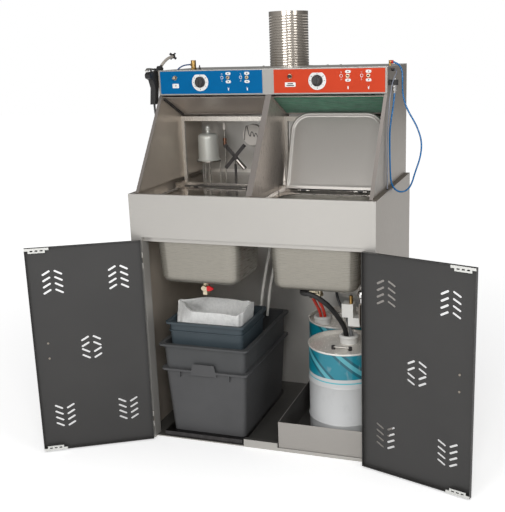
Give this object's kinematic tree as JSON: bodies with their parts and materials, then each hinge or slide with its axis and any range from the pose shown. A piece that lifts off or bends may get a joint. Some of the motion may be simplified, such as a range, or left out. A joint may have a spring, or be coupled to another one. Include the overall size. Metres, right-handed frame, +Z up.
{
  "type": "parts washer tank",
  "caption": "Stainless twin-bay parts and spray-gun washer: hooded basins with folding lids, timer panel, slotted cabinet doors, slide-out filter tubs and solvent drums.",
  "frame": {"origin": "on the floor under the middle of the cabinet", "axes": "+X to the right as seen from the front, +Y to the back, +Z up"},
  "size_m": [1.5505, 0.8643, 1.567],
  "materials": {
    "stainless": "brushed",
    "polished_stainless": "polished",
    "door_paint": "satin powder coat",
    "blue_enamel": "satin",
    "red_enamel": "satin",
    "brass": "machined",
    "filter_mat": "fibrous",
    "black_rubber": "matte",
    "duct_aluminium": "bright ribbed",
    "cup_aluminium": "satin",
    "valve_metal": "nickel plated",
    "pump_white": "moulded",
    "drum_paint": "gloss",
    "black_plastic": "moulded",
    "grey_plastic": "moulded",
    "red_plastic": "dipped",
    "bright_chrome": "polished",
    "dark_metal": "satin",
    "tub_plastic": "moulded",
    "tray_plastic": "moulded",
    "felt": "needle felt",
    "blue_tube": "polyurethane",
    "grey_tube": "polyurethane",
    "red_tube": "polyurethane",
    "black_hose_rubber": "matte",
    "clear_tube": "clear flexible tube"
  },
  "bodies": {
    "cabinet": {"left_side": "stainless", "right_side": "stainless", "back_panel": "stainless", "floor_pan": "stainless", "front_frame": "stainless", "deck_plate": "stainless", "water_basin": "stainless", "solvent_basin": "stainless", "hood_left": "stainless", "hood_right": "stainless", "hood_shell": "stainless", "divider": "stainless", "panel_housing": "stainless", "ceiling_frame": "stainless", "chamber_frames": "stainless", "wash_rack": "stainless", "spill_tray": "stainless", "door_hinges": "stainless", "screws": "stainless", "blue_plate": "blue_enamel", "red_plate": "red_enamel", "panel_nuts": "brass", "filter_mat": "filter_mat", "ceiling_seal": "black_rubber", "exhaust_duct": "duct_aluminium", "wash_cup": "cup_aluminium", "drain_valves": "valve_metal", "pump": "pump_white", "front_drum": "drum_paint", "rear_drum": "drum_paint", "air_fittings": "brass", "tool_clips": "black_plastic", "air_tool": "bright_chrome", "blow_gun": "black_plastic", "blue_hose": "blue_tube", "grey_hose": "grey_tube", "gun_hose": "black_hose_rubber", "red_hoses": "red_tube", "drum_hoses": "black_hose_rubber", "clear_hoses": "clear_tube"},
    "left_door_leaf": {"left_door": "door_paint"},
    "right_door_leaf": {"right_door": "door_paint"},
    "water_lid_leaf": {"water_lid": "polished_stainless"},
    "solvent_lid_leaf": {"solvent_lid": "polished_stainless"},
    "water_timer_knob": {"water_timer": "black_plastic"},
    "solvent_timer_knob": {"solvent_timer": "black_plastic"},
    "water_toggle_left": {"water_toggle_1": "brass"},
    "water_toggle_right": {"water_toggle_2": "brass"},
    "solvent_toggle_left": {"solvent_toggle_1": "dark_metal"},
    "solvent_toggle_right": {"solvent_toggle_2": "dark_metal"},
    "water_push_button": {"water_button": "brass"},
    "solvent_push_button": {"solvent_button": "black_plastic"},
    "water_drain_handle": {"water_drain_lever": "red_plastic"},
    "solvent_drain_handle": {"solvent_drain_lever": "black_plastic"},
    "tub_stack": {"tub_sled": "dark_metal", "lower_tub": "tub_plastic", "upper_tub": "tub_plastic", "filter_tray": "tray_plastic", "filter_bag": "felt"},
    "blow_gun_lever": {"gun_lever": "grey_plastic"}
  },
  "joints": [
    {"name": "left_door_hinge", "type": "hinge", "parent": "cabinet", "child": "left_door_leaf", "pos_m": [-0.408, -0.324, 0.392], "axis": [0, 0, -1], "range_deg": [-150, 25]},
    {"name": "right_door_hinge", "type": "hinge", "parent": "cabinet", "child": "right_door_leaf", "pos_m": [0.408, -0.324, 0.392], "axis": [0, 0, 1], "range_deg": [-162, 13]},
    {"name": "water_lid_hinge", "type": "hinge", "parent": "cabinet", "child": "water_lid_leaf", "pos_m": [-0.218, -0.002, 0.917], "axis": [1, 0, 0], "range_deg": [-111, 0]},
    {"name": "solvent_lid_hinge", "type": "hinge", "parent": "cabinet", "child": "solvent_lid_leaf", "pos_m": [0.218, -0.002, 0.917], "axis": [1, 0, 0], "range_deg": [0, 111]},
    {"name": "water_timer_turn", "type": "hinge", "parent": "cabinet", "child": "water_timer_knob", "pos_m": [-0.264, -0.053, 1.319], "axis": [0, 1, 0], "range_deg": [0, 300]},
    {"name": "solvent_timer_turn", "type": "hinge", "parent": "cabinet", "child": "solvent_timer_knob", "pos_m": [0.184, -0.053, 1.319], "axis": [0, 1, 0], "range_deg": [0, 300]},
    {"name": "water_toggle_left_tilt", "type": "hinge", "parent": "cabinet", "child": "water_toggle_left", "pos_m": [-0.153, -0.057, 1.334], "axis": [1, 0, 0], "range_deg": [-14, 14]},
    {"name": "water_toggle_right_tilt", "type": "hinge", "parent": "cabinet", "child": "water_toggle_right", "pos_m": [-0.08, -0.057, 1.334], "axis": [1, 0, 0], "range_deg": [-14, 14]},
    {"name": "solvent_toggle_left_tilt", "type": "hinge", "parent": "cabinet", "child": "solvent_toggle_left", "pos_m": [0.295, -0.057, 1.334], "axis": [1, 0, 0], "range_deg": [-14, 14]},
    {"name": "solvent_toggle_right_tilt", "type": "hinge", "parent": "cabinet", "child": "solvent_toggle_right", "pos_m": [0.368, -0.057, 1.334], "axis": [1, 0, 0], "range_deg": [-14, 14]},
    {"name": "water_button_press", "type": "slide", "parent": "cabinet", "child": "water_push_button", "axis": [0, 1, 0], "range_m": [0, 0.004], "stiffness_N_per_m": 250, "springref_m": -0.002},
    {"name": "solvent_button_press", "type": "slide", "parent": "cabinet", "child": "solvent_push_button", "axis": [0, 1, 0], "range_m": [0, 0.004], "stiffness_N_per_m": 250, "springref_m": -0.002},
    {"name": "water_drain_turn", "type": "hinge", "parent": "cabinet", "child": "water_drain_handle", "pos_m": [-0.218, -0.222, 0.579], "axis": [0, 1, 0], "range_deg": [0, 90]},
    {"name": "solvent_drain_turn", "type": "hinge", "parent": "cabinet", "child": "solvent_drain_handle", "pos_m": [0.194, -0.198, 0.57], "axis": [0, 0, 1], "range_deg": [0, 90]},
    {"name": "tub_slide", "type": "slide", "parent": "cabinet", "child": "tub_stack", "axis": [0, -1, 0], "range_m": [0, 0.38]},
    {"name": "gun_lever_press", "type": "hinge", "parent": "cabinet", "child": "blow_gun_lever", "pos_m": [-0.452, -0.058, 1.368], "axis": [1, 0, 0], "range_deg": [0, 7], "stiffness_Nm_per_rad": 0.06, "springref_deg": -17.19}
  ]
}
